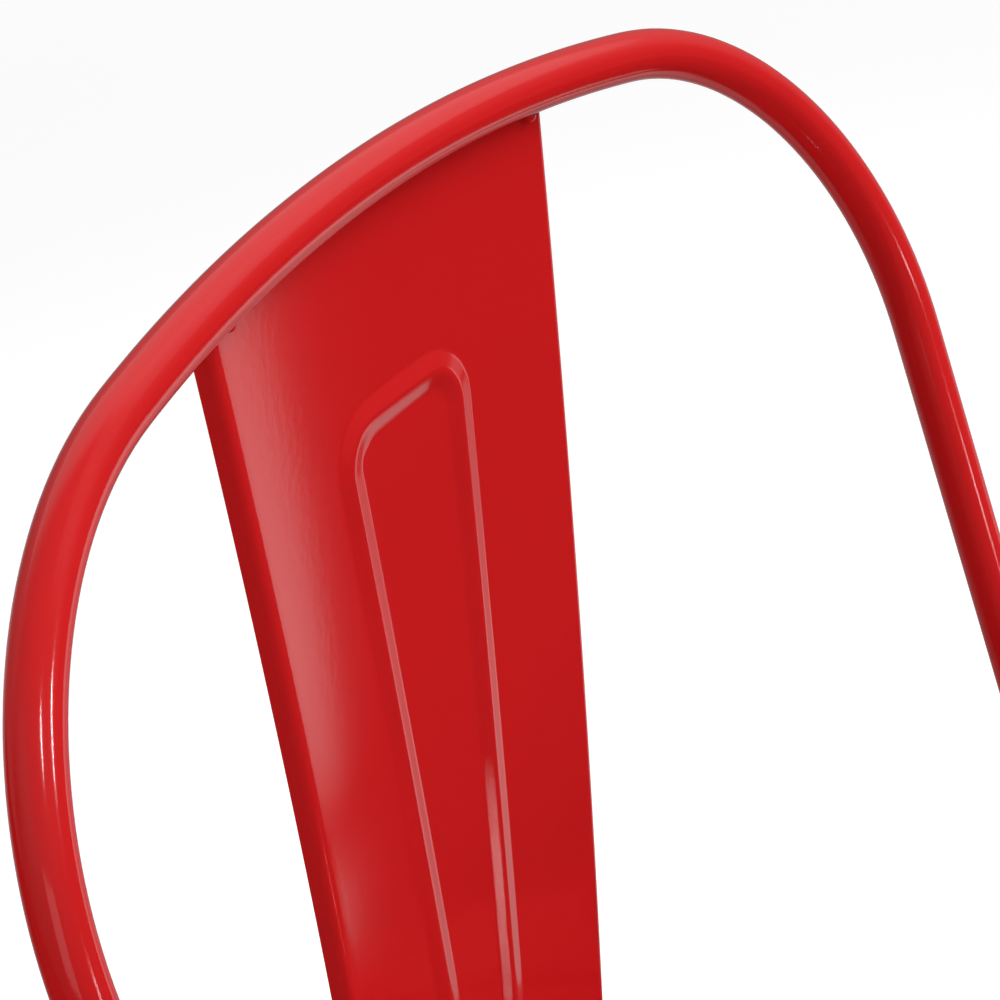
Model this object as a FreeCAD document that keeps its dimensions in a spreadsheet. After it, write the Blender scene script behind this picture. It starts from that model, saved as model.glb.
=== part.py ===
import FreeCAD, Part
import math
import os
import Sketcher

# Metal dining chair: bent tube back hoop, pressed splat, pressed seat and four tapered sheet legs.
# Millimetres, +Z up, the front faces -Y, origin on the floor under the middle of the chair.

Vector = FreeCAD.Vector
document = FreeCAD.newDocument("chair")
closeBy = 0.01

# Driving dimensions, each with the words that explain it
dimensions = [
    ("tubeRadius", 7.35, "hoop tube, outside"),
    ("tubeWall", 1.4, "hoop tube, wall"),
    ("apexHeight", 842.0, "hoop centreline, highest point"),
    ("apexDepth", 167.0, "hoop centreline, Y of its highest point"),
    ("hoopWidth", 416.0, "hoop centreline at its shoulders"),
    ("crownAngle", 10.6, "half angle of the flat crown arc"),
    ("cornerRadius", 110.0, "hoop shoulder radius"),
    ("sideAngle", 4.2, "how far the hoop's sides close in below the shoulders"),
    ("hoopLean", 22.0, "lean of the hoop from the vertical"),
    ("hoopBow", 11.4, "how far the crown bows back past the sides"),
    ("kneeHeight", 440.0, "where the hoop bends back beside the seat"),
    ("hoopEndHeight", 375.0, "cut end of the hoop inside the rear leg"),
    ("hoopEndOut", 189.5, "X of the cut end"),
    ("hoopEndDepth", 28.5, "Y of the cut end"),
    ("sheetThickness", 1.5, "all pressed sheet"),
    ("splatTop", 836.0, "splat sheet, upper edge before it is trimmed under the tube"),
    ("splatMiddle", 640.0, "height of the splat's middle section"),
    ("splatFoot", 427.0, "splat sheet, lower edge"),
    ("splatTopWidth", 160.3, "splat width at its upper edge"),
    ("splatMiddleWidth", 136.0, "splat width at its middle section"),
    ("splatFootWidth", 115.0, "splat width at its lower edge"),
    ("splatTopDepth", 164.1, "Y of the splat's front edge line at the top"),
    ("splatMiddleDepth", 145.0, "Y of the splat's front edge line at the middle section"),
    ("splatHollow", 4.9, "how far the splat's middle lies behind its side edges at the top"),
    ("splatMiddleHollow", 4.7, "the same at the middle section"),
    ("splatFootHollow", 0.05, "the same at the splat's foot, which is nearly flat"),
    ("splatBend", 5.0, "bend radius of the splat's side flanges"),
    ("splatFlange", 6.5, "depth of the side flanges"),
    ("ribTop", 782.2, "pressed rib round the middle of the splat, upper foot of its outer slope"),
    ("ribFoot", 474.0, "the same, lower foot of its outer slope"),
    ("ribRise", 1.4, "how far the rib stands forward"),
    ("ribSlope", 6.2, "width of each of the rib's slopes"),
    ("ribCrest", 0.8, "width of the rib's crest"),
    ("ribTopHalf", 27.4, "half width between the crest's outer edges near the top"),
    ("ribFootHalf", 10.9, "half width between the crest's outer edges near the foot"),
    ("ribUnder", 0.3, "how deep the rib's slopes run on inside the sheet"),
    ("ribBuried", 0.7, "depth of the rib's body inside the sheet"),
    ("ribFlush", 0.1, "step left where the inner slopes meet the crest at the ends"),
    ("ribClear", 2.0, "how far the tool for the rib's inner slopes stands out in front"),
    ("seatHeight", 450.0, "top of the seat's rim"),
    ("seatHalf", 178.0, "half width of the seat"),
    ("seatFront", -218.0, "Y of the seat's front edge"),
    ("seatRear", 132.8, "Y of the seat's rear edge"),
    ("seatCorner", 32.0, "seat corner radius"),
    ("seatRound", 6.0, "rounding of the seat's rim"),
    ("skirtDepth", 30.0, "height of the seat's skirt"),
    ("rimWidth", 28.0, "flat rim round the sunk seat panel"),
    ("panelSink", 3.0, "depth of the sunk seat panel"),
    ("drainRadius", 5.0, "drain hole in the middle of the seat"),
    ("gussetThickness", 3.0, "corner gusset plates"),
    ("gussetSide", 60.0, "corner gusset side"),
    ("gussetBevel", 36.0, "bevel across each gusset's inner corner"),
    ("gussetLap", 1.0, "how far the gussets lap over the front leg's faces"),
    ("glideHeight", 6.0, "rubber foot glide"),
    ("glideCorner", 6.0, "corner radius of the glides"),
    ("glideLip", 1.5, "how far a glide stands out round the foot"),
    ("screwLift", 1.0, "height of the glide screws' tips over the floor"),
    ("footSide", 26.0, "square foot of each leg"),
    ("footPlate", 3.0, "closed bottom of each leg"),
    ("footOut", 214.5, "outer X of each foot"),
    ("footFront", -243.5, "outer Y of the front feet"),
    ("footRear", 243.5, "outer Y of the rear feet"),
    ("footCorner", 10.0, "corner radius at the foot"),
    ("frontLegSide", 55.0, "front leg width at its top"),
    ("frontLegOut", 173.5, "outer X of the front leg's top"),
    ("frontLegFront", -213.5, "outer Y of the front leg's top"),
    ("frontLegCorner", 34.0, "front leg corner radius at its top"),
    ("rearLegTop", 440.0, "top of the rear leg"),
    ("rearLegOut", 200.0, "outer X of the rear leg's top"),
    ("rearLegIn", 150.0, "inner X of the rear leg's top"),
    ("rearLegFront", -30.0, "front Y of the rear leg's top"),
    ("rearLegRear", 24.0, "rear Y of the rear leg's top"),
    ("rearLegCorner", 22.0, "rear leg corner radius at its top"),
    ("lugHeight", 340.0, "underside of the brace lugs"),
    ("lugThickness", 3.0, "brace lugs"),
    ("lugSide", 44.0, "front brace lug side"),
    ("rearLugIn", 132.0, "inner X of the rear brace lugs"),
    ("lugReach", 40.0, "how far the lugs may stand out of a leg's channel"),
    ("braceWidth", 28.0, "flat cross brace"),
    ("braceThickness", 3.0, "flat cross brace"),
    ("braceCorner", 6.0, "corner radius of the braces' ends"),
    ("braceFrontOut", 162.0, "X of a brace's front rivet"),
    ("braceFrontDepth", -198.0, "Y of a brace's front rivet"),
    ("braceRearOut", 146.0, "X of a brace's rear rivet"),
    ("braceRearDepth", 48.0, "Y of a brace's rear rivet"),
    ("braceOverrun", 13.0, "brace length past its end rivets"),
    ("rivetRadius", 2.5, "rivet shank"),
    ("holePlay", 0.1, "play between a fastener and its hole"),
    ("rivetHead", 5.0, "rivet head radius"),
    ("rivetHeadHeight", 2.0, "rivet head height"),
    ("splatRivetHeight", 434.0, "height of the rivets at the splat's foot"),
    ("splatRivetSpacing", 42.0, "distance between those rivets"),
    ("splatRivetGap", 1.1, "lift of the outer heads over the sheet's slope and slight hollow"),
    ("boltRadius", 3.0, "seat bolt shank"),
    ("boltHead", 6.0, "seat bolt head radius"),
    ("boltHeadHeight", 3.0, "seat bolt head height"),
    ("boltHeight", 429.0, "height of the seat bolts"),
    ("boltDepth", -13.0, "Y of the seat bolts"),
    ("spacerRadius", 4.5, "spacer between the leg and the skirt"),
    ("nutRadius", 5.5, "seat nut, across its corners"),
    ("nutHeight", 5.0, "seat nut"),
    ("plugThickness", 2.0, "flange of the hoop end plugs"),
    ("plugLength", 12.0, "stem of the hoop end plugs"),
    ("bumperRadius", 9.0, "stacking bumper"),
    ("bumperHeight", 8.0, "stacking bumper"),
    ("bumperReach", 95.0, "distance of a bumper from the brace crossing"),
    ("dropRadius", 2.2, "weld drops at the splat's upper corners"),
    ("dropInset", 9.0, "distance of those drops from the splat's sides"),
]


def makeSheet():
    sheet = document.addObject("Spreadsheet::Sheet", "dims")
    for row, (alias, value, words) in enumerate(dimensions, start=1):
        sheet.set(f"A{row}", words)
        sheet.set(f"B{row}", str(value))
        sheet.setAlias(f"B{row}", alias)
    document.recompute()
    return sheet


sheet = makeSheet()


def size(alias):
    return float(sheet.get(alias))


def bind(item, **expressions):
    for name, words in expressions.items():
        item.setExpression(name, words)
    return item


def place(item, along="0", across="0", up="0"):
    for axis, words in (("x", along), ("y", across), ("z", up)):
        item.setExpression(f"Placement.Base.{axis}", words)
    return item


def build(kind, name, **settings):
    item = document.addObject(kind, name)
    for key, value in settings.items():
        setattr(item, key, value)
    item.Label = name
    return item


def cut(name, base, tool):
    return build("Part::Cut", name, Base=base, Tool=tool)


def fuse(name, parts):
    return build("Part::MultiFuse", name, Shapes=parts)


def group(name, parts):
    return build("Part::Compound", name, Links=parts)


def mirrored(name, source):
    return build("Part::Mirroring", name, Source=source, Normal=Vector(1, 0, 0), Base=Vector(0, 0, 0))


def cylinder(name, radius, length):
    return bind(build("Part::Cylinder", name), Radius=radius, Height=length)


# Points along the hoop's centreline

def crownRadius():
    half = size("hoopWidth") / 2 - size("cornerRadius")
    return half / math.sin(math.radians(size("crownAngle"))) + size("cornerRadius")


def hoopPoint(across, below):
    bow = size("hoopBow") * (across / (size("hoopWidth") / 2)) ** 2
    lean = math.tan(math.radians(size("hoopLean")))
    return Vector(across, size("apexDepth") - below * lean - bow, size("apexHeight") - below)


def hoopHalf():
    crown = math.radians(size("crownAngle"))
    corner = math.radians(90 + size("sideAngle"))
    outer = crownRadius()
    inner = size("cornerRadius")
    points = []
    crownSteps = 5
    for step in range(crownSteps):
        turn = crown * step / crownSteps
        points.append((outer * math.sin(turn), outer * (1 - math.cos(turn))))
    centreAcross = (outer - inner) * math.sin(crown)
    centreBelow = outer - (outer - inner) * math.cos(crown)
    cornerSteps = 8
    for step in range(cornerSteps + 1):
        turn = crown + (corner - crown) * step / cornerSteps
        points.append((centreAcross + inner * math.sin(turn), centreBelow - inner * math.cos(turn)))
    closing = math.tan(math.radians(size("sideAngle")))
    endAcross, endBelow = points[-1]
    kneeBelow = size("apexHeight") - size("kneeHeight")
    sideRuns = 4
    for step in range(1, sideRuns + 1):
        below = endBelow + (kneeBelow - endBelow) * step / sideRuns
        points.append((endAcross - closing * (below - endBelow), below))
    route = [hoopPoint(across, below) for across, below in points]
    route.append(Vector(size("hoopEndOut"), size("hoopEndDepth"), size("hoopEndHeight")))
    return route


def roundedRoute(points, share=0.48):
    edges = []
    start = points[0]
    for before, corner, after in zip(points, points[1:], points[2:]):
        inward = (before - corner)
        outward = (after - corner)
        reach = share * min(inward.Length, outward.Length)
        inward.normalize()
        outward.normalize()
        first = corner + inward * reach
        last = corner + outward * reach
        half = (inward + outward)
        opening = inward.getAngle(outward) / 2
        half.normalize()
        radius = reach * math.tan(opening)
        middle = corner + half * (reach / math.cos(opening) - radius)
        edges.append(Part.LineSegment(start, first).toShape())
        edges.append(Part.Arc(first, middle, last).toShape())
        start = last
    edges.append(Part.LineSegment(start, points[-1]).toShape())
    return Part.Wire(edges)


def hoopRoute():
    half = hoopHalf()
    left = [Vector(-point.x, point.y, point.z) for point in reversed(half[1:])]
    return left + half


def hoopSweep(name, path, radius):
    route = hoopRoute()
    ring = build("Part::Circle", name + "Ring")
    ring.setExpression("Radius", radius)
    turn = FreeCAD.Rotation(Vector(0, 0, 1), route[1] - route[0])
    ring.Placement = FreeCAD.Placement(route[0], turn)
    edges = [f"Edge{index + 1}" for index in range(len(path.Shape.Edges))]
    return build("Part::Sweep", name, Sections=[ring], Spine=(path, edges), Solid=True, Frenet=False)


def makeHoop():
    path = build("Part::Feature", "hoopPath")
    path.Shape = roundedRoute(hoopRoute())
    document.recompute()
    solid = hoopSweep("hoopSolid", path, "dims.tubeRadius")
    bore = hoopSweep("hoopBore", path, "dims.tubeRadius - dims.tubeWall")
    hoop = cut("back_hoop", solid, bore)
    return solid, hoop


def makePlugs():
    route = hoopRoute()
    end = route[-1]
    run = end - route[-2]
    turn = FreeCAD.Rotation(Vector(0, 0, 1), run)
    flange = cylinder("plugFlange", "dims.tubeRadius", "dims.plugThickness")
    flange.Placement = FreeCAD.Placement(end, turn)
    stem = cylinder("plugStem", "dims.tubeRadius - dims.tubeWall", "dims.plugLength")
    run.normalize()
    stem.Placement = FreeCAD.Placement(end - run * size("plugLength"), turn)
    right = fuse("hoop_plug_right", [flange, stem])
    return [right, mirrored("hoop_plug_left", right)]


# The splat, a hollow and tapered sheet with flanged sides and a pressed rib

def splatSection(height, width, depth, hollow):
    half = width / 2
    bend = size("splatBend")
    sheetSize = size("sheetThickness")
    rear = depth + size("splatFlange")
    lean = math.sqrt(0.5)

    def corner(side, radius):
        centre = Vector(side * (half - bend), depth + bend, height)
        near = centre + Vector(0, -radius, 0)
        far = centre + Vector(side * radius, 0, 0)
        middle = centre + Vector(side * radius * lean, -radius * lean, 0)
        return near, middle, far

    outerNear, outerMiddle, outerFar = corner(1, bend)
    innerNear, innerMiddle, innerFar = corner(1, bend - sheetSize)
    flip = FreeCAD.Matrix(-1, 0, 0, 0, 0, 1, 0, 0, 0, 0, 1, 0, 0, 0, 0, 1)
    outerRear = Vector(half, rear, height)
    innerRear = Vector(half - sheetSize, rear, height)
    front = Part.Arc(flip.multVec(outerNear), Vector(0, depth + hollow, height), outerNear)
    back = Part.Arc(innerNear, Vector(0, depth + hollow + sheetSize, height), flip.multVec(innerNear))
    edges = [
        front.toShape(),
        Part.Arc(outerNear, outerMiddle, outerFar).toShape(),
        Part.LineSegment(outerFar, outerRear).toShape(),
        Part.LineSegment(outerRear, innerRear).toShape(),
        Part.LineSegment(innerRear, innerFar).toShape(),
        Part.Arc(innerFar, innerMiddle, innerNear).toShape(),
        back.toShape(),
        Part.Arc(flip.multVec(innerNear), flip.multVec(innerMiddle), flip.multVec(innerFar)).toShape(),
        Part.LineSegment(flip.multVec(innerFar), flip.multVec(innerRear)).toShape(),
        Part.LineSegment(flip.multVec(innerRear), flip.multVec(outerRear)).toShape(),
        Part.LineSegment(flip.multVec(outerRear), flip.multVec(outerFar)).toShape(),
        Part.Arc(flip.multVec(outerFar), flip.multVec(outerMiddle), flip.multVec(outerNear)).toShape(),
    ]
    return Part.Wire(edges)


def throughThree(height, top, middle, foot):
    levels = (size("splatTop"), size("splatMiddle"), size("splatFoot"))
    total = 0.0
    for level, value in zip(levels, (top, middle, foot)):
        weight = 1.0
        for other in levels:
            if other != level:
                weight *= (height - other) / (level - other)
        total += value * weight
    return total


def splatDepth(height):
    return throughThree(height, size("splatTopDepth"), size("splatMiddleDepth"), size("seatRear"))


def splatHollow(height):
    return throughThree(height, size("splatHollow"), size("splatMiddleHollow"), size("splatFootHollow"))


def splatWidth(height):
    return throughThree(height, size("splatTopWidth"), size("splatMiddleWidth"), size("splatFootWidth"))


def splatFace(across, height):
    edge = splatWidth(height) / 2 - size("splatBend")
    return splatDepth(height) + splatHollow(height) * (1 - (across / edge) ** 2)


def crestHalf(height):
    low = size("ribFoot") + size("ribSlope")
    high = size("ribTop") - size("ribSlope")
    share = min(max((height - low) / (high - low), 0.0), 1.0)
    return size("ribFootHalf") + (size("ribTopHalf") - size("ribFootHalf")) * share


def acrossArc(height, across, depth, middle):
    ends = [Vector(side * across, depth, height) for side in (-1, 1)]
    return Part.Arc(ends[0], Vector(0, middle, height), ends[1]).toShape()


def sideRuns(height, half):
    runs = []
    for side in (-1, 1):
        points = [Vector(side * across, depth, height) for across, depth in half]
        runs += [Part.LineSegment(first, last).toShape() for first, last in zip(points, points[1:])]
    return runs


def slopeRunOn():
    # how far a slope goes on past the sheet's face, to end inside the sheet
    return size("ribSlope") * size("ribUnder") / size("ribRise")


def outerSection(height, rise, shift):
    crest = crestHalf(height)
    foot = crest + size("ribSlope") + slopeRunOn()
    buried = size("ribBuried")
    centre = splatFace(0, height) + shift
    base = splatFace(foot, height) + shift
    top = splatFace(crest, height) + shift - rise
    edges = sideRuns(height, [(foot, base + buried), (foot, base + size("ribUnder")), (crest, top)])
    edges.append(acrossArc(height, foot, base + buried, centre + buried))
    edges.append(acrossArc(height, crest, top, centre - rise))
    return Part.Wire(Part.sortEdges(edges)[0])


def innerSection(height, rise, shift):
    # the space inside the rib, down to the given rise over the sheet
    crest = crestHalf(height) - size("ribCrest")
    foot = crest - size("ribSlope") * (1 - rise / size("ribRise"))
    centre = splatFace(0, height) + shift
    floor = splatFace(foot, height) + shift - rise
    top = splatFace(crest, height) + shift - size("ribRise")
    front = top - size("ribClear")
    edges = sideRuns(height, [(foot, floor), (crest, top), (crest, front)])
    edges.append(acrossArc(height, foot, floor, centre - rise))
    edges.append(Part.LineSegment(Vector(-crest, front, height), Vector(crest, front, height)).toShape())
    return Part.Wire(Part.sortEdges(edges)[0])


def risingLoft(section, ends, steps, shift):
    # horizontal sections between two sloping ends: each end is a height and a rise
    (footEnd, low), (high, topEnd) = ends
    middles = [low[0] + (high[0] - low[0]) * step / steps for step in range(1, steps)]
    levels = [footEnd, low] + [(level, low[1]) for level in middles] + [high, topEnd]
    wires = [section(height, rise, shift) for height, rise in levels]
    return Part.makeLoft(wires, True, True)


def ribSolid(shift):
    slope = size("ribSlope")
    crest = size("ribCrest")
    rise = size("ribRise")
    under = size("ribUnder")
    step = rise - size("ribFlush")
    runOn = slopeRunOn()
    foot = size("ribFoot")
    top = size("ribTop")
    outer = (((foot - runOn, -under), (foot + slope, rise)), ((top - slope, rise), (top + runOn, -under)))
    low = foot + slope + crest
    high = top - slope - crest
    inner = (((low, step), (low + slope + runOn, -under)), ((high - slope - runOn, -under), (high, step)))
    return risingLoft(outerSection, outer, 4, shift).cut(risingLoft(innerSection, inner, 4, shift))


def makeSplat(tube):
    heights = (size("splatFoot"), size("splatMiddle"), size("splatTop"))
    wires = []
    for level in heights:
        wires.append(splatSection(level, splatWidth(level), splatDepth(level), splatHollow(level)))
    sheetBody = Part.makeLoft(wires, True, False)
    pressed = sheetBody.fuse(ribSolid(0.0)).cut(ribSolid(size("sheetThickness")))
    blank = build("Part::Feature", "splatBlank")
    blank.Shape = pressed.removeSplitter()
    holes = splatHoles("splatHole")
    trimmed = cut("splatTrimmed", blank, tube)
    return cut("back_splat", trimmed, holes)


def splatHoles(name):
    parts = []
    for step in (-1, 0, 1):
        hole = cylinder(f"{name}{step + 2}", "dims.rivetRadius + dims.holePlay", "4 * dims.splatFlange")
        hole.Placement.Rotation = FreeCAD.Rotation(Vector(1, 0, 0), -90)
        place(hole, f"{step} * dims.splatRivetSpacing", "dims.seatRear - 2 * dims.splatFlange",
              "dims.splatRivetHeight")
        parts.append(hole)
    return group(name + "s", parts)


# The seat, a shallow pressed tray turned over, with a sunk panel

def rectangleSketch(body, name, left, right, front, rear, level):
    sketch = body.newObject("Sketcher::SketchObject", name)
    plane = [item for item in body.Origin.OriginFeatures if item.Role == "XY_Plane"][0]
    sketch.AttachmentSupport = [(plane, "")]
    sketch.MapMode = "FlatFace"
    sketch.setExpression("AttachmentOffset.Base.z", level)
    corners = [Vector(0, 0, 0), Vector(10, 0, 0), Vector(10, 10, 0), Vector(0, 10, 0)]
    for index, corner in enumerate(corners):
        sketch.addGeometry(Part.LineSegment(corner, corners[(index + 1) % 4]), False)
    for index in range(4):
        sketch.addConstraint(Sketcher.Constraint("Coincident", index, 2, (index + 1) % 4, 1))
    for index in (0, 2):
        sketch.addConstraint(Sketcher.Constraint("Horizontal", index))
        sketch.addConstraint(Sketcher.Constraint("Vertical", index + 1))
    sides = (("left", "DistanceX", 0, 1, left), ("front", "DistanceY", 0, 1, front),
             ("right", "DistanceX", 2, 1, right), ("rear", "DistanceY", 2, 1, rear))
    for label, kind, line, point, words in sides:
        number = sketch.addConstraint(Sketcher.Constraint(kind, -1, 1, line, point, 5.0))
        sketch.renameConstraint(number, label)
        sketch.setExpression(f"Constraints.{label}", words)
    document.recompute()
    return sketch


def edgesWhere(shape, test):
    return [f"Edge{index + 1}" for index, edge in enumerate(shape.Edges) if test(edge)]


def upright(edge):
    first = edge.Vertexes[0].Point
    last = edge.Vertexes[-1].Point
    tall = abs(first.z - last.z) > size("sheetThickness")
    return tall and abs(first.x - last.x) < closeBy and abs(first.y - last.y) < closeBy


def cornerEdge(shape, spot, tall):
    # the number of the edge at least this tall whose middle lies nearest to a spot seen from above
    edges = [(index + 1, edge) for index, edge in enumerate(shape.Edges) if edge.BoundBox.ZLength > tall]
    return min(edges, key=lambda pair: math.hypot(pair[1].CenterOfMass.x - spot[0],
                                                  pair[1].CenterOfMass.y - spot[1]))


def roundEdges(body, name, base, names, radius):
    item = body.newObject("PartDesign::Fillet", name)
    item.Base = (base, names)
    item.setExpression("Radius", radius)
    document.recompute()
    return item


def makeSeatBody(name, inset, height, sunkFloor):
    body = document.addObject("PartDesign::Body", name)
    body.Label = name
    outline = rectangleSketch(body, name + "Outline", f"-dims.seatHalf + {inset}", f"dims.seatHalf - {inset}",
                              f"dims.seatFront + {inset}", f"dims.seatRear - {inset}",
                              "dims.seatHeight - dims.skirtDepth")
    pad = body.newObject("PartDesign::Pad", name + "Pad")
    pad.Profile = outline
    pad.setExpression("Length", height)
    document.recompute()
    corners = roundEdges(body, name + "Corners", pad, edgesWhere(pad.Shape, upright),
                         f"dims.seatCorner - {inset}")
    top = corners.Shape.BoundBox.ZMax
    rim = edgesWhere(corners.Shape, lambda edge: edge.BoundBox.ZMin > top - closeBy)
    rounded = roundEdges(body, name + "Rim", corners, rim, f"dims.seatRound - {inset}")
    sunk = rectangleSketch(body, name + "Sunk", f"-dims.seatHalf + dims.rimWidth - {inset}",
                           f"dims.seatHalf - dims.rimWidth + {inset}",
                           f"dims.seatFront + dims.rimWidth - {inset}",
                           f"dims.seatRear - dims.rimWidth + {inset}", sunkFloor)
    before = rounded.Shape.Volume
    pocket = body.newObject("PartDesign::Pocket", name + "Pocket")
    pocket.Profile = sunk
    pocket.setExpression("Length", "2 * dims.panelSink")
    pocket.Reversed = True
    document.recompute()
    if not pocket.Shape.Volume < before:
        raise RuntimeError("the sunk seat panel cut nothing")
    inside = size("seatHalf") - size("rimWidth") / 2
    walls = edgesWhere(pocket.Shape, lambda edge: upright(edge) and abs(edge.CenterOfMass.x) < inside)
    roundEdges(body, name + "SunkCorners", pocket, walls, "dims.seatCorner - dims.rimWidth / 2")
    return body


def makeSeat(boltHoles):
    outer = makeSeatBody("seatOuter", "0", "dims.skirtDepth", "dims.seatHeight - dims.panelSink")
    inner = makeSeatBody("seatInner", "dims.sheetThickness", "dims.skirtDepth - dims.sheetThickness",
                         "dims.seatHeight - dims.panelSink - dims.sheetThickness")
    shell = cut("seatShell", outer, inner)
    drain = cylinder("drainHole", "dims.drainRadius", "2 * dims.skirtDepth")
    place(drain, "0", "(dims.seatFront + dims.seatRear) / 2", "dims.seatHeight - dims.skirtDepth")
    drained = cut("seatDrained", shell, drain)
    bored = cut("seatBored", drained, boltHoles)
    return cut("seat_pan", bored, splatHoles("skirtHole"))


# The legs, tapered folded sheet, open towards the middle of the chair

def wedge(name, low, high, bottom, top):
    item = build("Part::Wedge", name)
    item.Placement = FreeCAD.Placement(Vector(0, 0, 0), FreeCAD.Rotation(Vector(1, 0, 0), 90))
    left, right, front, rear = bottom
    leftTop, rightTop, frontTop, rearTop = top
    return bind(item, Ymin=low, Ymax=high, Xmin=left, Xmax=right, Zmin=f"-({rear})", Zmax=f"-({front})",
                X2min=leftTop, X2max=rightTop, Z2min=f"-({rearTop})", Z2max=f"-({frontTop})")


def roundLeg(name, base, corner, radiusTop, radiusFoot):
    document.recompute()
    number, edge = cornerEdge(base.Shape, corner, size("lugHeight"))
    rising = edge.valueAt(edge.FirstParameter).z < edge.valueAt(edge.LastParameter).z
    first, last = (radiusFoot, radiusTop) if rising else (radiusTop, radiusFoot)
    item = build("Part::Fillet", name, Base=base, Edges=[(number, first, last)])
    document.recompute()
    return item


def makeLeg(name, isFront):
    wall = "dims.sheetThickness"
    foot = "dims.footSide"
    low = "dims.glideHeight"
    reach = "dims.lugReach"
    if isFront:
        high = "dims.seatHeight - dims.panelSink - dims.sheetThickness - dims.gussetThickness"
        bottom = (f"dims.footOut - {foot}", "dims.footOut", "dims.footFront", f"dims.footFront + {foot}")
        top = ("dims.frontLegOut - dims.frontLegSide", "dims.frontLegOut",
               "dims.frontLegFront", "dims.frontLegFront + dims.frontLegSide")
        bottomIn = (f"{bottom[0]} - {reach}", f"dims.footOut - {wall}",
                    f"dims.footFront + {wall}", f"{bottom[3]} + {reach}")
        topIn = (f"{top[0]} - {reach}", f"dims.frontLegOut - {wall}",
                 f"dims.frontLegFront + {wall}", f"{top[3]} + {reach}")
        radius = size("frontLegCorner")
        across = (size("footOut") + size("frontLegOut")) / 2
        corner = (across, (size("footFront") + size("frontLegFront")) / 2)
    else:
        high = "dims.rearLegTop"
        bottom = (f"dims.footOut - {foot}", "dims.footOut", f"dims.footRear - {foot}", "dims.footRear")
        top = ("dims.rearLegIn", "dims.rearLegOut", "dims.rearLegFront", "dims.rearLegRear")
        bottomIn = (f"{bottom[0]} - {reach}", f"dims.footOut - {wall}", f"{bottom[2]} + {wall}",
                    f"dims.footRear - {wall}")
        topIn = (f"dims.rearLegIn - {reach}", f"dims.rearLegOut - {wall}", f"dims.rearLegFront + {wall}",
                 f"dims.rearLegRear - {wall}")
        radius = size("rearLegCorner")
        corner = ((size("footOut") + size("rearLegOut")) / 2, (size("footRear") + size("rearLegRear")) / 2)
    outer = wedge(name + "Outer", low, high, bottom, top)
    inner = wedge(name + "Inner", low, high, bottomIn, topIn)
    shrink = size("sheetThickness")
    outerRound = roundLeg(name + "OuterRound", outer, corner, radius, size("footCorner"))
    innerRound = roundLeg(name + "InnerRound", inner, corner, radius - shrink, size("footCorner") - shrink)
    floor = bind(build("Part::Box", name + "Floor"), Length="2 * dims.footOut", Width="4 * dims.footRear",
                 Height="dims.footPlate")
    place(floor, "0", "-2 * dims.footRear", "dims.glideHeight")
    space = cut(name + "Space", innerRound, floor)
    channel = cut(name + "Channel", outerRound, space)
    return channel, space, innerRound


def glideScrewRod(name, isFront, play="0"):
    rod = cylinder(name, f"dims.rivetRadius + {play}", "dims.glideHeight + dims.footPlate - dims.screwLift")
    depth = "dims.footFront + dims.footSide / 2" if isFront else "dims.footRear - dims.footSide / 2"
    return place(rod, "dims.footOut - dims.footSide / 2", depth, "dims.screwLift")


def makeGlide(name, isFront):
    lip = "dims.glideLip"
    pad = bind(build("Part::Box", name + "Pad"), Length=f"dims.footSide + 2 * {lip}",
               Width=f"dims.footSide + 2 * {lip}", Height="dims.glideHeight")
    front = "dims.footFront" if isFront else "dims.footRear - dims.footSide"
    place(pad, f"dims.footOut - dims.footSide - {lip}", f"{front} - {lip}", "0")
    document.recompute()
    radius = size("glideCorner")
    chosen = [(index + 1, radius, radius) for index, edge in enumerate(pad.Shape.Edges) if upright(edge)]
    rounded = build("Part::Fillet", name + "Round", Base=pad, Edges=chosen)
    return cut(name, rounded, glideScrewRod(name + "Hole", isFront, "dims.holePlay"))


def makeGlideScrew(name, isFront):
    shank = glideScrewRod(name + "Shank", isFront)
    head = cylinder(name + "Head", "dims.rivetHead", "dims.rivetHeadHeight")
    depth = "dims.footFront + dims.footSide / 2" if isFront else "dims.footRear - dims.footSide / 2"
    place(head, "dims.footOut - dims.footSide / 2", depth, "dims.glideHeight + dims.footPlate")
    return fuse(name, [shank, head])


# The flat cross braces under the seat and what holds them

def braceAngle():
    run = size("braceRearDepth") - size("braceFrontDepth")
    return math.degrees(math.atan2(run, size("braceFrontOut") + size("braceRearOut")))


def braceCrossing():
    share = size("braceFrontOut") / (size("braceFrontOut") + size("braceRearOut"))
    return size("braceFrontDepth") + share * (size("braceRearDepth") - size("braceFrontDepth"))


def braceSpots(side):
    return [(-side * size("braceFrontOut"), size("braceFrontDepth")),
            (side * size("braceRearOut"), size("braceRearDepth"))]


def rivetShank(name, spot, low, high, play="0"):
    item = cylinder(name, f"dims.rivetRadius + {play}", f"{high} - ({low})")
    return place(item, f"{spot[0]}", f"{spot[1]}", low)


def rivet(name, spot, low, high):
    shank = rivetShank(name + "Shank", spot, low, high)
    under = cylinder(name + "Under", "dims.rivetHead", "dims.rivetHeadHeight")
    place(under, f"{spot[0]}", f"{spot[1]}", f"{low} - dims.rivetHeadHeight")
    over = build("Part::Cone", name + "Over")
    bind(over, Radius1="dims.rivetHead", Radius2="dims.rivetHead / 2", Height="dims.rivetHeadHeight")
    place(over, f"{spot[0]}", f"{spot[1]}", high)
    return fuse(name, [shank, under, over])


def braceLevel(side):
    lug = "dims.lugHeight" if side > 0 else "dims.lugHeight + dims.braceThickness"
    return lug, f"{lug} + dims.lugThickness"


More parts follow.
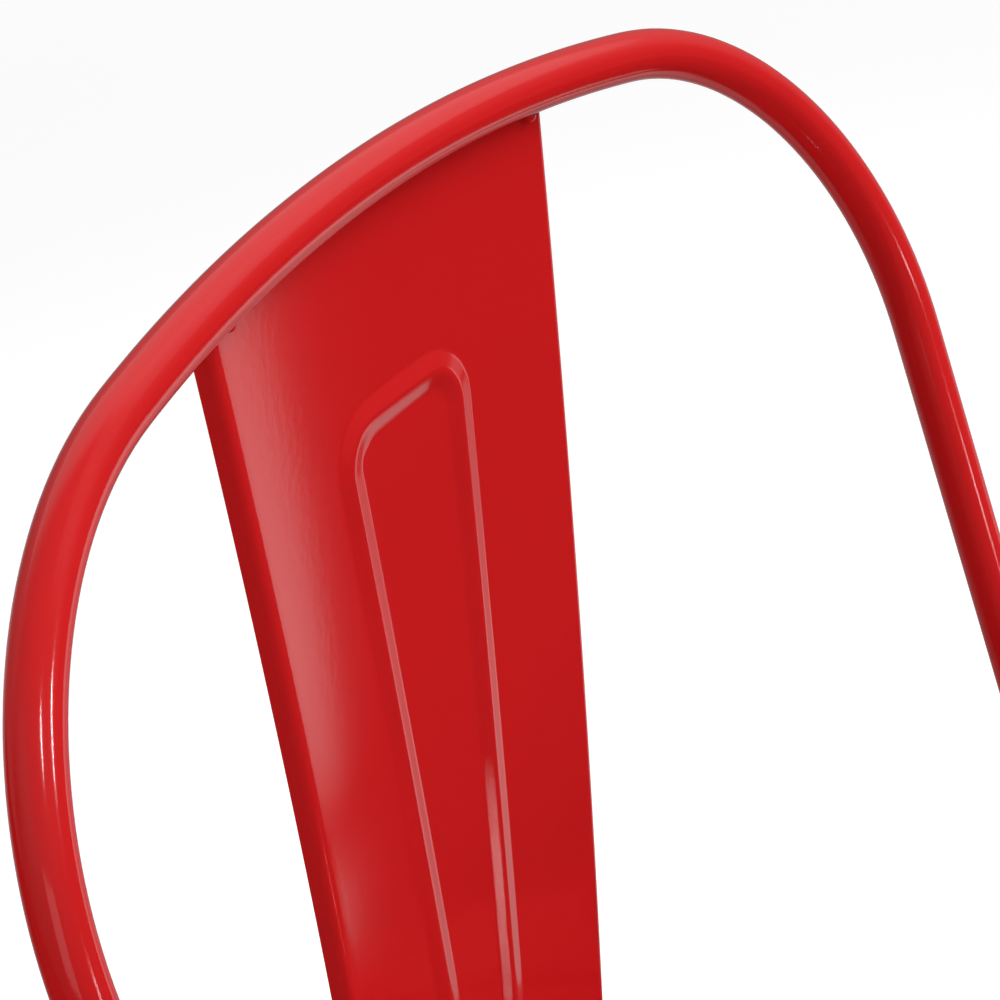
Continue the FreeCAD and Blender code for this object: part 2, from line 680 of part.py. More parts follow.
def makeBrace(name, side):
    level = braceLevel(side)[1]
    bar = bind(build("Part::Box", name + "Bar"), Width="dims.braceWidth", Height="dims.braceThickness")
    run = math.hypot(size("braceRearDepth") - size("braceFrontDepth"),
                     size("braceFrontOut") + size("braceRearOut"))
    bar.setExpression("Length", f"{run} + 2 * dims.braceOverrun")
    angle = braceAngle() if side > 0 else 180 - braceAngle()
    turn = FreeCAD.Rotation(Vector(0, 0, 1), angle)
    start = Vector(-side * size("braceFrontOut"), size("braceFrontDepth"), 0)
    corner = start + turn.multVec(Vector(-size("braceOverrun"), -size("braceWidth") / 2, 0))
    bar.Placement = FreeCAD.Placement(corner, turn)
    bar.setExpression("Placement.Base.z", level)
    document.recompute()
    radius = size("braceCorner")
    chosen = [(index + 1, radius, radius) for index, edge in enumerate(bar.Shape.Edges) if upright(edge)]
    rounded = build("Part::Fillet", name + "Round", Base=bar, Edges=chosen)
    spots = braceSpots(side) + [(0.0, braceCrossing())]
    above = f"{level} + dims.braceThickness"
    holes = [rivetShank(f"{name}Hole{number}", spot, level, above, "dims.holePlay")
             for number, spot in enumerate(spots)]
    return cut(name, rounded, group(name + "Holes", holes))


def makeLug(name, space, isFront, side, spot):
    low = braceLevel(side)[0]
    plate = bind(build("Part::Box", name + "Plate"), Width="dims.lugSide", Height="dims.lugThickness")
    inner = f"{spot[0]} - dims.lugSide / 2" if isFront else "dims.rearLugIn"
    plate.setExpression("Length", "dims.lugSide" if isFront else "dims.footOut - dims.rearLugIn")
    place(plate, inner, f"{spot[1]} - dims.lugSide / 2", low)
    fitted = build("Part::Common", name + "Fitted", Base=plate, Tool=space)
    hole = rivetShank(name + "Hole", spot, low, f"{low} + dims.lugThickness", "dims.holePlay")
    return cut(name, fitted, hole)


def makeGusset(name):
    plate = bind(build("Part::Box", name + "Plate"), Length="dims.gussetSide", Width="dims.gussetSide",
                 Height="dims.gussetThickness")
    place(plate, "dims.frontLegOut + dims.gussetLap - dims.gussetSide", "dims.frontLegFront - dims.gussetLap",
          "dims.seatHeight - dims.panelSink - dims.sheetThickness - dims.gussetThickness")
    document.recompute()
    outside = (size("frontLegOut"), size("frontLegFront"))
    inside = (outside[0] - size("gussetSide"), outside[1] + size("gussetSide"))
    tall = size("gussetThickness") / 2
    radius = size("frontLegCorner")
    number = cornerEdge(plate.Shape, outside, tall)[0]
    rounded = build("Part::Fillet", name + "Round", Base=plate, Edges=[(number, radius, radius)])
    document.recompute()
    bevel = size("gussetBevel")
    number = cornerEdge(rounded.Shape, inside, tall)[0]
    return build("Part::Chamfer", name, Base=rounded, Edges=[(number, bevel, bevel)])


def makeBumper(name, side, sign):
    angle = math.radians(braceAngle())
    reach = size("bumperReach") * sign
    spot = (side * reach * math.cos(angle), braceCrossing() + reach * math.sin(angle))
    item = cylinder(name, "dims.bumperRadius", "dims.bumperHeight")
    return place(item, f"{spot[0]}", f"{spot[1]}", f"{braceLevel(side)[1]} - dims.bumperHeight")


# Bolts that draw the rear legs against the skirt

def webOut(height):
    share = (size("rearLegTop") - height) / (size("rearLegTop") - size("glideHeight"))
    return size("rearLegOut") + (size("footOut") - size("rearLegOut")) * share


def sideways(name, radius, start, end, height, depth):
    item = cylinder(name, radius, f"{end} - ({start})")
    item.Placement.Rotation = FreeCAD.Rotation(Vector(0, 1, 0), 90)
    return place(item, f"{start}", depth, height)


def makeBoltParts():
    outside = webOut(size("boltHeight"))
    inside = outside - size("sheetThickness")
    skirtIn = "dims.seatHalf - dims.sheetThickness"
    level = "dims.boltHeight"
    depth = "dims.boltDepth"
    shank = sideways("boltShank", "dims.boltRadius", f"{skirtIn} - dims.nutHeight", outside, level, depth)
    head = sideways("boltHeadDisc", "dims.boltHead", outside, outside + size("boltHeadHeight"), level, depth)
    bolt = fuse("boltRight", [shank, head])
    bore = sideways("boltBore", "dims.boltRadius + dims.holePlay", "dims.seatHalf - dims.skirtDepth",
                    outside + size("boltHeadHeight"), level, depth)
    sleeve = sideways("spacerBody", "dims.spacerRadius", "dims.seatHalf", inside, level, depth)
    spacer = cut("spacerRight", sleeve, bore)
    nut = build("Part::Prism", "nutBody", Polygon=6)
    bind(nut, Circumradius="dims.nutRadius", Height="dims.nutHeight")
    nut.Placement.Rotation = FreeCAD.Rotation(Vector(0, 1, 0), 90)
    place(nut, f"{skirtIn} - dims.nutHeight", depth, level)
    nutRight = cut("nutRight", nut, bore)
    return bore, bolt, spacer, nutRight


def bothSides(name, right):
    return group(name, [right, mirrored(name + "Left", right)])


def makeCap(tube):
    plate = bind(build("Part::Box", "capPlate"), Length="dims.rearLegOut - dims.seatHalf",
                 Width="dims.rearLegRear - dims.rearLegFront", Height="dims.sheetThickness")
    place(plate, "dims.seatHalf", "dims.rearLegFront", "dims.rearLegTop")
    return cut("leg_cap_right", plate, tube)


def splatRivet(name, step):
    across = f"{step} * dims.splatRivetSpacing"
    turn = FreeCAD.Rotation(Vector(1, 0, 0), -90)
    start = "dims.seatRear - dims.sheetThickness"
    end = "dims.seatRear + dims.sheetThickness + dims.splatRivetGap"
    shank = cylinder(name + "Shank", "dims.rivetRadius", f"({end}) - ({start})")
    inside = cylinder(name + "Inside", "dims.rivetHead", "dims.rivetHeadHeight")
    outside = cylinder(name + "Outside", "dims.rivetHead", "dims.rivetHeadHeight")
    starts = (start, f"{start} - dims.rivetHeadHeight", end)
    for item, depth in zip((shank, inside, outside), starts):
        item.Placement.Rotation = turn
        place(item, across, depth, "dims.splatRivetHeight")
    return fuse(name, [shank, inside, outside])


def makeWeldDrop(name, tube, splat):
    drop = build("Part::Sphere", name + "Ball")
    drop.setExpression("Radius", "dims.dropRadius")
    across = size("splatTopWidth") / 2 - size("dropInset")
    below = crownRadius() - math.sqrt(crownRadius() ** 2 - across ** 2) + size("tubeRadius")
    height = hoopPoint(across, below).z
    drop.Placement.Base = Vector(across, splatDepth(height) - size("dropRadius") / 3, height)
    return cut(name, cut(name + "Low", drop, tube), splat)


def assemble():
    tube, hoop = makeHoop()
    splat = makeSplat(tube)
    bore, bolt, spacer, nut = makeBoltParts()
    allBores = bothSides("boltBores", bore)
    seat = makeSeat(allBores)
    nodes = [hoop, splat, seat] + makePlugs()
    envelope = bind(build("Part::Box", "seatEnvelope"), Length="2 * dims.seatHalf",
                    Width="dims.seatRear - dims.seatFront", Height="2 * dims.skirtDepth")
    place(envelope, "-dims.seatHalf", "dims.seatFront", "dims.seatHeight - dims.skirtDepth")
    for isFront in (True, False):
        word = "front" if isFront else "rear"
        channel, space, roundSpace = makeLeg(word + "Leg", isFront)
        holed = cut(word + "LegHoled", channel, glideScrewRod(word + "FootHole", isFront, "dims.holePlay"))
        if isFront:
            holed.Label = "front_leg_right"
            right = holed
        else:
            notched = cut("rearLegNotched", holed, envelope)
            right = cut("rear_leg_right", notched, bore)
            bolt = cut("boltFitted", bolt, right)
            spacer = cut("spacerFitted", spacer, right)
        nodes += [right, mirrored(word + "_leg_left", right)]
        glide = makeGlide(word + "_glide_right", isFront)
        nodes += [glide, mirrored(word + "_glide_left", glide)]
        number = 0 if isFront else 1
        for side in (1, -1):
            spot = braceSpots(side)[number]
            handed = (abs(spot[0]), spot[1])
            onRight = spot[0] > 0
            lug = makeLug(f"{word}Lug{'R' if onRight else 'L'}", space, isFront, side, handed)
            label = f"{word}_lug_" + ("right" if onRight else "left")
            if onRight:
                lug.Label = label
            else:
                lug = mirrored(label, lug)
            nodes.append(lug)
    gusset = makeGusset("gusset_right")
    nodes += [gusset, mirrored("gusset_left", gusset)]
    nodes += [makeBrace("brace_lower", 1), makeBrace("brace_upper", -1)]
    cap = makeCap(tube)
    nodes += [cap, mirrored("leg_cap_left", cap)]
    centre = (0.0, braceCrossing())
    lowest = braceLevel(1)[1]
    highest = f"{braceLevel(-1)[1]} + dims.braceThickness"
    nodes.append(rivet("brace_rivet_centre", centre, lowest, highest))
    ends = []
    for side in (1, -1):
        for number, spot in enumerate(braceSpots(side)):
            low, top = braceLevel(side)
            ends.append(rivet(f"endRivet{'A' if side > 0 else 'B'}{number}", spot, low,
                              f"{top} + dims.braceThickness"))
    nodes.append(group("brace_rivets_end", ends))
    nodes.append(group("splat_rivets", [splatRivet(f"splatRivet{step + 2}", step) for step in (-1, 0, 1)]))
    nodes += [bothSides("seat_bolts", bolt), bothSides("seat_spacers", spacer), bothSides("seat_nuts", nut)]
    screws = []
    for isFront in (True, False):
        screw = makeGlideScrew("frontScrew" if isFront else "rearScrew", isFront)
        screws += [screw, mirrored(screw.Label + "Left", screw)]
    nodes.append(group("glide_screws", screws))
    bumpers = [makeBumper(f"bumper{number}", side, sign)
               for number, (side, sign) in enumerate([(1, 1), (1, -1), (-1, 1), (-1, -1)])]
    nodes.append(group("stack_bumpers", bumpers))
    nodes.append(bothSides("splat_welds", makeWeldDrop("weldDrop", tube, splat)))
    return nodes


def checkAndWrite(nodes):
    document.recompute()
    for item in document.Objects:
        bad = [word for word in item.State if word in ("Invalid", "Error")]
        if bad:
            raise RuntimeError(f"{item.Label} is {bad}")
    os.makedirs("parts", exist_ok=True)
    for node in nodes:
        shape = node.Shape
        if shape.isNull() or not shape.isValid() or not shape.Solids:
            raise RuntimeError(f"{node.Label} has no valid solid")
        if min(solid.Volume for solid in shape.Solids) <= 0:
            raise RuntimeError(f"{node.Label} has a solid without volume")
        shape.exportStep(f"parts/{node.Label}.step")
        print(f"{node.Label}: {len(shape.Solids)} solid, {shape.Volume:.0f} mm3")


checkAndWrite(assemble())
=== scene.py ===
import bpy
import bmesh
import math
from mathutils import Matrix, Vector


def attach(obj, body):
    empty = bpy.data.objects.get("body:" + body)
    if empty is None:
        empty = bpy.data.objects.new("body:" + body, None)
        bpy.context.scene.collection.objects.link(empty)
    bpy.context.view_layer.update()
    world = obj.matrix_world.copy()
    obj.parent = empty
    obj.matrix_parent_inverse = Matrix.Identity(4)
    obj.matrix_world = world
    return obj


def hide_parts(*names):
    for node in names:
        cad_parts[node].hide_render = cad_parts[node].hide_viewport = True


# Red metal dining chair. Metres, +Z up, the front faces -Y.

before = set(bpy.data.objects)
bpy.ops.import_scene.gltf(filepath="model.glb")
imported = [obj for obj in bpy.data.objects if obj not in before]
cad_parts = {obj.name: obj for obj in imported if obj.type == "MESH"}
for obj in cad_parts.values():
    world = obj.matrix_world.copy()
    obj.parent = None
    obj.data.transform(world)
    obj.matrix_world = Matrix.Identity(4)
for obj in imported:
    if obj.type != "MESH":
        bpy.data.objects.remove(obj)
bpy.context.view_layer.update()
print("the frame is loaded")


def colour(red, green, blue):
    # a colour as it is seen on screen, from 0 to 255, to the linear value that a socket takes
    parts = [value / 255 for value in (red, green, blue)]
    return tuple(v / 12.92 if v < 0.04045 else ((v + 0.055) / 1.055) ** 2.4 for v in parts) + (1,)


# Camera, where the photographer stood: left of the chair's front, looking down over the back

camera = {
    "place": (-0.6255, -0.2755, 1.1982),
    "turn": 57.0,      # from +Y towards +X
    "tilt": 30.9,      # down from the horizon
    "roll": 2.1,
    "lens": 115.2,
}


def makeCamera():
    turn, tilt, roll = (math.radians(camera[word]) for word in ("turn", "tilt", "roll"))
    ahead = Vector((math.sin(turn) * math.cos(tilt), math.cos(turn) * math.cos(tilt), -math.sin(tilt)))
    right = Vector((math.cos(turn), -math.sin(turn), 0))
    up = right.cross(ahead)
    across = right * math.cos(roll) - up * math.sin(roll)
    above = up * math.cos(roll) + right * math.sin(roll)
    data = bpy.data.cameras.new("camera")
    data.lens = camera["lens"]
    data.sensor_width = 36
    data.clip_end = 50
    item = bpy.data.objects.new("camera", data)
    turned = Matrix((across, above, -ahead)).transposed().to_4x4()
    item.matrix_world = Matrix.Translation(camera["place"]) @ turned
    bpy.context.scene.collection.objects.link(item)
    bpy.context.scene.camera = item


makeCamera()
print("the camera stands")


# Materials

def newMaterial(name):
    material = bpy.data.materials.new(name)
    material.use_nodes = True
    nodes = material.node_tree.nodes
    return material, nodes, material.node_tree.links, nodes["Principled BSDF"]


def addNoise(nodes, links, place, scale, detail=2.0):
    noise = nodes.new("ShaderNodeTexNoise")
    noise.inputs["Scale"].default_value = scale
    noise.inputs["Detail"].default_value = detail
    links.new(place, noise.inputs["Vector"])
    return noise.outputs["Fac"]


def addRange(nodes, links, value, low, high, start=0.3, end=0.7):
    step = nodes.new("ShaderNodeMapRange")
    for socket, number in (("From Min", start), ("From Max", end), ("To Min", low), ("To Max", high)):
        step.inputs[socket].default_value = number
    links.new(value, step.inputs["Value"])
    return step.outputs["Result"]


def addBump(nodes, links, value, strength, depth, before=None):
    bump = nodes.new("ShaderNodeBump")
    bump.inputs["Strength"].default_value = strength
    bump.inputs["Distance"].default_value = depth
    links.new(value, bump.inputs["Height"])
    if before:
        links.new(before, bump.inputs["Normal"])
    return bump.outputs["Normal"]


def mixColours(nodes, links, value, first, second):
    mix = nodes.new("ShaderNodeMix")
    mix.data_type = "RGBA"
    mix.inputs[6].default_value = first
    mix.inputs[7].default_value = second
    links.new(value, mix.inputs[0])
    return mix.outputs[2]


redPaint = {
    "light": colour(197, 26, 28),
    "deep": colour(184, 22, 24),
    "gloss": (0.08, 0.13),       # lowest and highest roughness
    "cloudScale": 9.0,
    "peelScale": 420.0,          # orange peel of the powder coat
    "grainScale": 2600.0,        # fine grain in the coat
    "peelBump": (0.03, 0.0004),  # strength and depth
    "grainBump": (0.06, 0.0001),
}


def makeRedPaint():
    material, nodes, links, shader = newMaterial("redPaint")
    place = nodes.new("ShaderNodeTexCoord").outputs["Object"]
    cloud = addNoise(nodes, links, place, redPaint["cloudScale"], 3.0)
    tint = mixColours(nodes, links, cloud, redPaint["light"], redPaint["deep"])
    links.new(tint, shader.inputs["Base Color"])
    peel = addNoise(nodes, links, place, redPaint["peelScale"], 1.0)
    grain = addNoise(nodes, links, place, redPaint["grainScale"], 1.0)
    low, high = redPaint["gloss"]
    links.new(addRange(nodes, links, grain, low, high), shader.inputs["Roughness"])
    smooth = addBump(nodes, links, peel, *redPaint["peelBump"])
    links.new(addBump(nodes, links, grain, *redPaint["grainBump"], smooth), shader.inputs["Normal"])
    shader.inputs["IOR"].default_value = 1.5
    return material


zinc = {
    "light": colour(188, 190, 192),
    "deep": colour(142, 145, 150),
    "scale": 60.0,
    "spangleScale": 450.0,
    "gloss": (0.28, 0.45),
    "bump": (0.15, 0.0003),
}


def makeZinc():
    material, nodes, links, shader = newMaterial("zincPlate")
    place = nodes.new("ShaderNodeTexCoord").outputs["Object"]
    spangle = nodes.new("ShaderNodeTexVoronoi")
    spangle.inputs["Scale"].default_value = zinc["spangleScale"]
    links.new(place, spangle.inputs["Vector"])
    cloud = addNoise(nodes, links, place, zinc["scale"], 4.0)
    links.new(mixColours(nodes, links, cloud, zinc["light"], zinc["deep"]), shader.inputs["Base Color"])
    low, high = zinc["gloss"]
    gloss = addRange(nodes, links, spangle.outputs["Distance"], low, high, 0.0, 1.0)
    links.new(gloss, shader.inputs["Roughness"])
    links.new(addBump(nodes, links, cloud, *zinc["bump"]), shader.inputs["Normal"])
    shader.inputs["Metallic"].default_value = 1.0
    return material


rubber = {
    "light": colour(44, 44, 46),
    "deep": colour(26, 26, 28),
    "scale": 900.0,
    "dustScale": 35.0,
    "gloss": (0.62, 0.85),
    "bump": (0.25, 0.0004),
}


def makeRubber():
    material, nodes, links, shader = newMaterial("blackRubber")
    place = nodes.new("ShaderNodeTexCoord").outputs["Object"]
    dust = addNoise(nodes, links, place, rubber["dustScale"], 4.0)
    grain = addNoise(nodes, links, place, rubber["scale"], 2.0)
    tint = mixColours(nodes, links, dust, rubber["light"], rubber["deep"])
    links.new(tint, shader.inputs["Base Color"])
    links.new(addRange(nodes, links, grain, *rubber["gloss"]), shader.inputs["Roughness"])
    links.new(addBump(nodes, links, grain, *rubber["bump"]), shader.inputs["Normal"])
    shader.inputs["IOR"].default_value = 1.5
    return material


finishes = {"paint": makeRedPaint(), "zinc": makeZinc(), "rubber": makeRubber()}
print("the finishes are mixed")


# Every piece ends here: its mesh becomes an object that rides on the chair

def finishPiece(name, shape, finish, stands, smooth=40):
    if isinstance(shape, bmesh.types.BMesh):
        mesh = bpy.data.meshes.new(name)
        shape.to_mesh(mesh)
        shape.free()
    else:
        mesh = shape
        mesh.name = name
    for face in mesh.polygons:
        face.use_smooth = True
    mesh.set_sharp_from_angle(angle=math.radians(smooth))
    mesh.materials.clear()
    mesh.materials.append(finishes[finish])
    item = bpy.data.objects.new(name, mesh)
    bpy.context.scene.collection.objects.link(item)
    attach(item, "root")
    if stands:
        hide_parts(*stands)
    return item


def applied(item, *modifiers):
    # bakes modifiers into the mesh of a piece
    for kind, settings in modifiers:
        modifier = item.modifiers.new(kind.lower(), kind)
        for word, value in settings.items():
            setattr(modifier, word, value)
    ready = item.evaluated_get(bpy.context.evaluated_depsgraph_get())
    mesh = bpy.data.meshes.new_from_object(ready)
    item.modifiers.clear()
    item.data = mesh
    return mesh


# Back hoop: one bent tube

hoop = {
    "radius": 0.00735,
    "apexDepth": 0.167,
    "apexHeight": 0.842,
    "width": 0.416,
    "crownAngle": 10.6,     # half angle of the flat crown arc
    "shoulder": 0.110,      # radius
    "closing": 4.2,         # how far the sides close in below the shoulders
    "lean": 22.0,
    "bow": 0.0114,          # how far the crown bows back past the sides
    "kneeHeight": 0.440,
    "kneeRadius": 0.072,
    "end": (0.1895, 0.0285, 0.375),
    "endPull": 0.01,        # short handles beside the cut end
}


def crownRadius():
    crown = math.radians(hoop["crownAngle"])
    return (hoop["width"] / 2 - hoop["shoulder"]) / math.sin(crown) + hoop["shoulder"]


def hoopSpot(across, below):
    half = hoop["width"] / 2
    bow = hoop["bow"] * (across / half) ** 2
    depth = hoop["apexDepth"] - below * math.tan(math.radians(hoop["lean"])) - bow
    return Vector((across, depth, hoop["apexHeight"] - below))


def hoopRun(across, outward, downward):
    # the tube's direction in space, from its direction as seen from the front
    half = hoop["width"] / 2
    bow = 2 * hoop["bow"] * across / half ** 2 * outward
    return Vector((outward, -downward * math.tan(math.radians(hoop["lean"])) - bow, -downward))


def hoopKnots():
    crown = math.radians(hoop["crownAngle"])
    turned = math.radians(90 + hoop["closing"])
    small = hoop["shoulder"]
    large = crownRadius()
    centreAcross = (large - small) * math.sin(crown)
    centreBelow = large - (large - small) * math.cos(crown)
    knots = []

    def add(across, below, angle, before, after):
        run = hoopRun(across, math.cos(angle), math.sin(angle))
        knots.append((hoopSpot(across, below), run * before, run * after))

    crownPull = 4 / 3 * math.tan(crown / 4) * large
    shoulderPull = 4 / 3 * math.tan((turned - crown) / 4) * small
    add(0, 0, 0, crownPull, crownPull)
    add(large * math.sin(crown), large * (1 - math.cos(crown)), crown, crownPull, shoulderPull)
    across = centreAcross + small * math.sin(turned)
    below = centreBelow - small * math.cos(turned)
    kneeBelow = hoop["apexHeight"] - hoop["kneeHeight"]
    side = kneeBelow - below
    add(across, below, turned, shoulderPull, side / 3)
    knee = hoopSpot(across - math.tan(math.radians(hoop["closing"])) * side, kneeBelow)
    end = Vector(hoop["end"])
    down = (knee - knots[-1][0]).normalized()
    away = (end - knee).normalized()
    bend = down.angle(away)
    reach = hoop["kneeRadius"] * math.tan(bend / 2)
    pull = 4 / 3 * math.tan(bend / 4) * hoop["kneeRadius"]
    knots.append((knee - down * reach, down * side / 3, down * pull))
    last = away * hoop["endPull"]
    knots.append((knee + away * reach, away * pull, last))
    knots.append((end, last, last))
    return knots


def makeHoop():
    right = hoopKnots()
    flip = Matrix.Diagonal((-1, 1, 1))
    left = [(flip @ spot, flip @ -after, flip @ -before) for spot, before, after in reversed(right[1:])]
    knots = left + right
    curve = bpy.data.curves.new("hoopLine", "CURVE")
    curve.dimensions = "3D"
    curve.bevel_depth = hoop["radius"]
    curve.bevel_resolution = 14
    curve.resolution_u = 40
    curve.use_fill_caps = True
    line = curve.splines.new("BEZIER")
    line.bezier_points.add(len(knots) - 1)
    for point, (spot, before, after) in zip(line.bezier_points, knots):
        point.handle_left_type = point.handle_right_type = "FREE"
        point.co = spot
        point.handle_left = spot - before
        point.handle_right = spot + after
    drawn = bpy.data.objects.new("hoopLine", curve)
    bpy.context.scene.collection.objects.link(drawn)
    ready = drawn.evaluated_get(bpy.context.evaluated_depsgraph_get())
    mesh = bpy.data.meshes.new_from_object(ready)
    bpy.data.objects.remove(drawn)
    shape = bmesh.new()
    shape.from_mesh(mesh)
    bpy.data.meshes.remove(mesh)
    bmesh.ops.remove_doubles(shape, verts=shape.verts, dist=0.00001)
    bmesh.ops.recalc_face_normals(shape, faces=shape.faces)
    return finishPiece("backHoop", shape, "paint", ["back_hoop"])


makeHoop()
print("the hoop is bent")


# Back splat: a hollow sheet with turned-back sides and a pressed rib like a tall arch

splat = {
    "sheet": 0.0015,
    "heights": (0.836, 0.640, 0.427),
    "depths": (0.1641, 0.1450, 0.1328),
    "widths": (0.1603, 0.1360, 0.1150),
    "hollows": (0.0049, 0.0047, 0.00005),
    "bend": 0.0026,
    "flange": 0.0065,
    "ribTop": 0.7822,
    "ribFoot": 0.474,
    "ribHalf": (0.0274, 0.0109),     # half width between the crests, near the top and near the foot
    "ribSlope": 0.0062,
    "ribRise": 0.0014,
    "ribCorner": 0.020,
    "ribEase": 0.22,                 # share of each slope that is rounded at its foot and at its crest
    "ribRoom": 0.0015,               # columns stand close together from this far past the slopes
    "columns": (0.10, 0.62, 0.82, 0.94),    # inner slope, outer slope, start and end of the bend
    "rows": ((0, 0.427), (0.05, 0.470), (0.22, 0.496), (0.47, 0.748), (0.87, 0.785), (1, 0.8345)),
    "arch": (0.790, 0.835),          # between these heights the rows come to follow the crown
    "mesh": (150, 170),
}


def throughHeights(height, values):
    # a smooth line through the values at the splat's three heights
    a, b, c = splat["heights"]
    top = (height - b) * (height - c) / ((a - b) * (a - c))
    middle = (height - a) * (height - c) / ((b - a) * (b - c))
    foot = (height - a) * (height - b) / ((c - a) * (c - b))
    return values[0] * top + values[1] * middle + values[2] * foot


def crestHalf(height):
    low = splat["ribFoot"] + splat["ribSlope"]
    high = splat["ribTop"] - splat["ribSlope"]
    share = min(max((height - low) / (high - low), 0), 1)
    top, foot = splat["ribHalf"]
    return foot + (top - foot) * share


def ribLift(across, height):
    # how far the rib stands forward, from the distance inside its rounded outline
    corner = splat["ribCorner"]
    slope = splat["ribSlope"]
    middle = (splat["ribTop"] + splat["ribFoot"]) / 2
    tall = (splat["ribTop"] - splat["ribFoot"]) / 2
    wide = crestHalf(height) + slope
    corner = min(corner, wide)
    sideways = abs(across) - (wide - corner)
    upwards = abs(height - middle) - (tall - corner)
    outside = math.hypot(max(sideways, 0), max(upwards, 0)) + min(max(sideways, upwards), 0) - corner
    share = 1 - abs(-outside - slope) / slope
    share = min(max(share, 0), 1)
    ease = splat["ribEase"]
    steep = 1 / (1 - ease)
    if share < ease:
        part = steep * share ** 2 / (2 * ease)
    elif share > 1 - ease:
        part = 1 - steep * (1 - share) ** 2 / (2 * ease)
    else:
        part = steep * (share - ease / 2)
    return splat["ribRise"] * part


def splatSpot(along, height):
    # along runs from -1 at one flange's rear edge to 1 at the other's
    half = throughHeights(height, splat["widths"]) / 2
    front = throughHeights(height, splat["depths"])
    hollow = throughHeights(height, splat["hollows"])
    bend = splat["bend"]
    slant = math.atan(2 * hollow / half)
    flat = half - bend - bend * math.sin(slant)
    side = 1 if along > 0 else -1
    along = abs(along)
    crest = crestHalf(height)
    reach = splat["ribSlope"] + splat["ribRoom"]
    inner, outer, bent, ended = splat["columns"]
    stops = ((0, 0), (inner, crest - reach), (outer, crest + reach), (bent, flat))
    for (low, first), (high, last) in zip(stops, stops[1:]):
        if along <= high:
            across = first + (last - first) * (along - low) / (high - low)
            depth = front + hollow * (1 - (across / flat) ** 2) - ribLift(across, height)
            return Vector((side * across, depth, height))
    if along <= ended:
        turn = -slant + (math.pi / 2 + slant) * (along - bent) / (ended - bent)
        across = half - bend + bend * math.sin(turn)
        return Vector((side * across, front + bend - bend * math.cos(turn), height))
    rest = (splat["flange"] - bend) * (along - ended) / (1 - ended)
    return Vector((side * half, front + bend + rest, height))


def splatHeight(share):
    # rows stand close together where the rib begins and ends
    stops = splat["rows"]
    for (low, first), (high, last) in zip(stops, stops[1:]):
        if share <= high:
            return first + (last - first) * (share - low) / (high - low)
    return stops[-1][1]


def makeSplat():
    crown = crownRadius()
    low, high = splat["arch"]
    columns, rows = splat["mesh"]
    shape = bmesh.new()
    bmesh.ops.create_grid(shape, x_segments=columns, y_segments=rows, size=1.0)
    for vert in shape.verts:
        height = splatHeight((vert.co.y + 1) / 2)
        spot = splatSpot(vert.co.x, height)
        top = min(max((height - low) / (high - low), 0), 1)
        drop = (crown - math.sqrt(crown ** 2 - spot.x ** 2)) * top
        vert.co = splatSpot(vert.co.x, height - drop)
    bmesh.ops.recalc_face_normals(shape, faces=shape.faces)
    shape.faces.ensure_lookup_table()
    middle = max(shape.faces, key=lambda face: -abs(face.calc_center_median().x))
    if middle.normal.y > 0:
        bmesh.ops.reverse_faces(shape, faces=shape.faces)
    item = finishPiece("backSplat", shape, "paint", ["back_splat"])
    settings = {"thickness": splat["sheet"], "offset": -1, "use_even_offset": True}
    mesh = applied(item, ("SOLIDIFY", settings))
    for face in mesh.polygons:
        face.use_smooth = True
    mesh.set_sharp_from_angle(angle=math.radians(50))
    return item


makeSplat()
print("the splat is pressed")


# The other pieces keep the frame's shape: a merged copy with its pressed and cut edges eased

